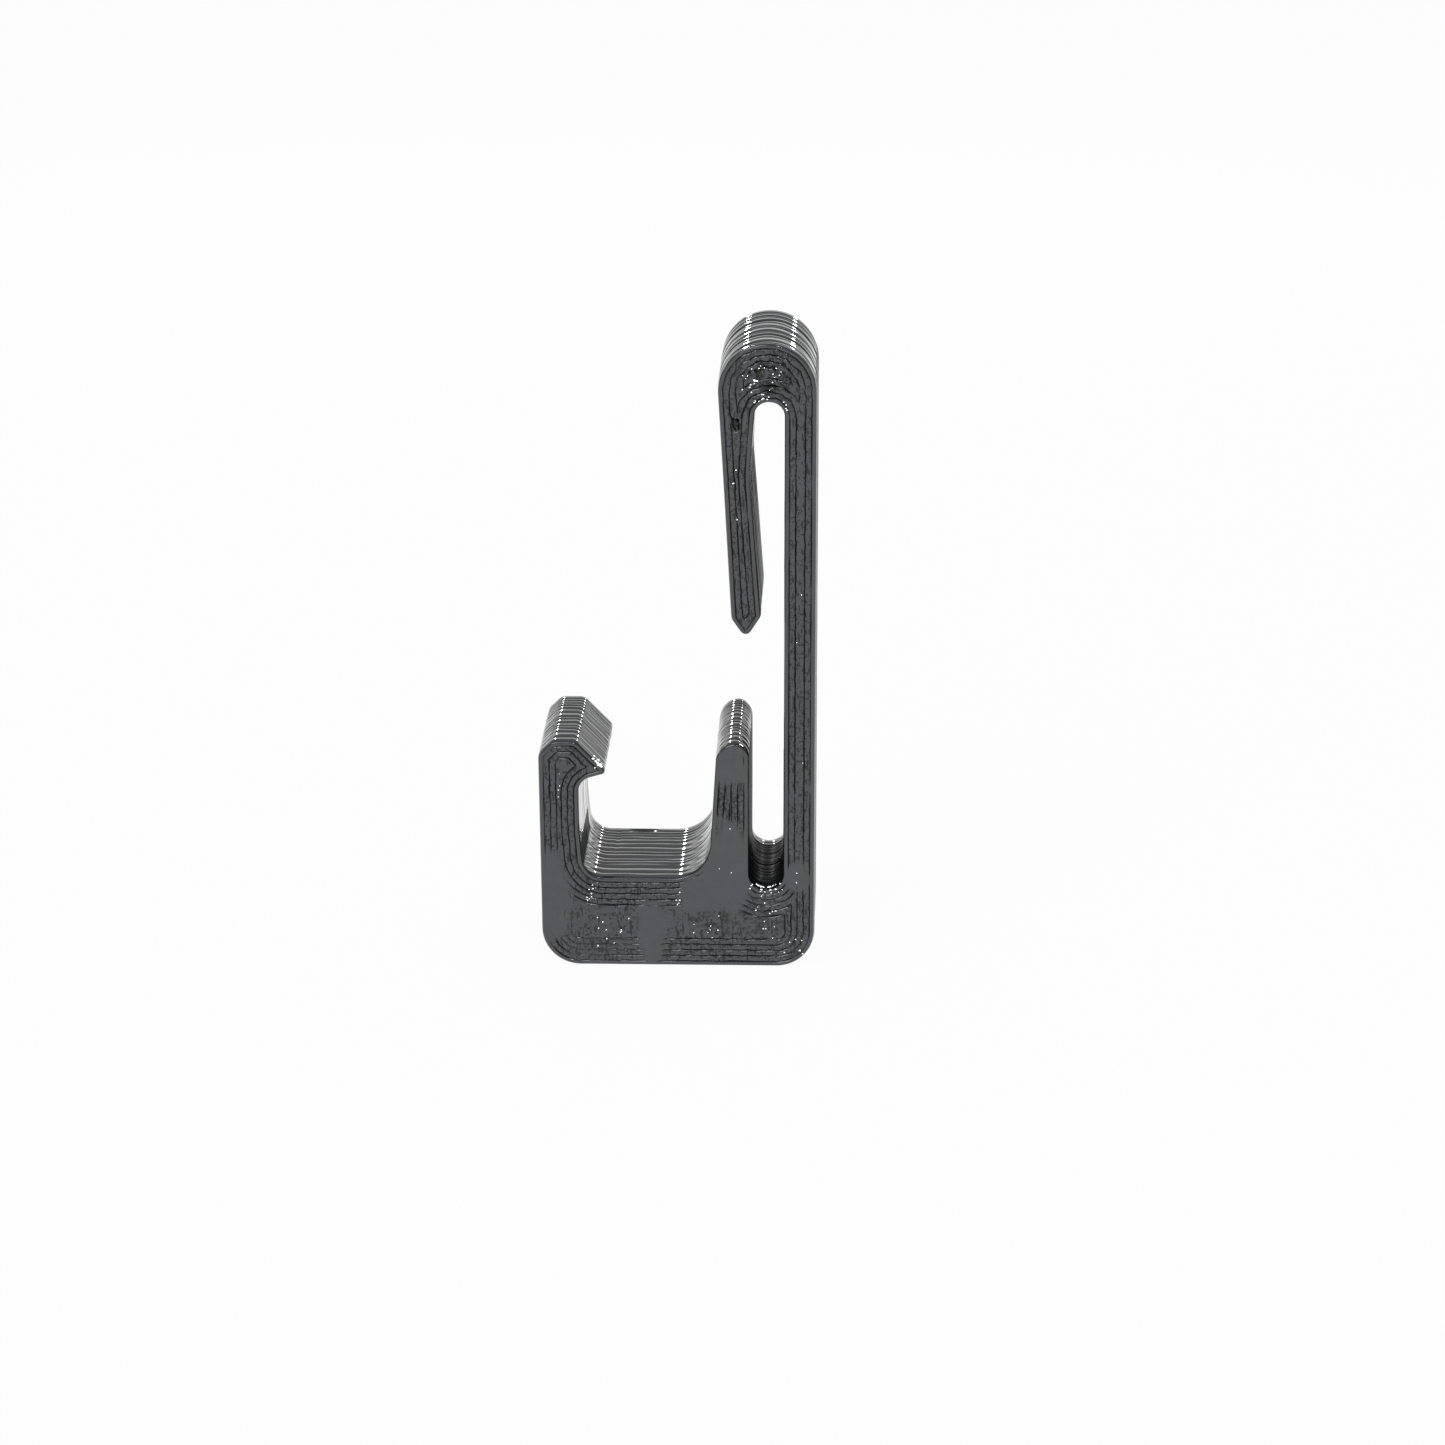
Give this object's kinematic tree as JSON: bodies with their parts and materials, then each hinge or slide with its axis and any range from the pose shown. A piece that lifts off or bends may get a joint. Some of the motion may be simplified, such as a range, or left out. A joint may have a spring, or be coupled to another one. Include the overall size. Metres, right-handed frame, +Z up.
{
  "type": "headphone hook",
  "caption": "Printed plastic hook: a tall stem and a leaning spring arm clip over a thin panel, and a barbed cradle below holds a slim headband.",
  "frame": {"origin": "middle of the underside of the base, where the hook stands", "axes": "+Z up along the stem, +X from the cradle's lip towards the stem, -Y out of the front face of the extruded profile"},
  "size_m": [0.0306, 0.0156, 0.0719],
  "materials": {
    "black_plastic": "glossy, with fine print layers"
  },
  "bodies": {
    "hook": {"base": "black_plastic", "outer_lip": "black_plastic", "middle_post": "black_plastic", "stem": "black_plastic", "crown": "black_plastic"},
    "arm": {"spring_arm": "black_plastic"}
  },
  "joints": [
    {"name": "arm_flex", "type": "hinge", "parent": "hook", "child": "arm", "pos_m": [0.00664, 0, 0.057], "axis": [0, 1, 0], "range_deg": [-6, 8], "stiffness_Nm_per_rad": 4.1}
  ]
}
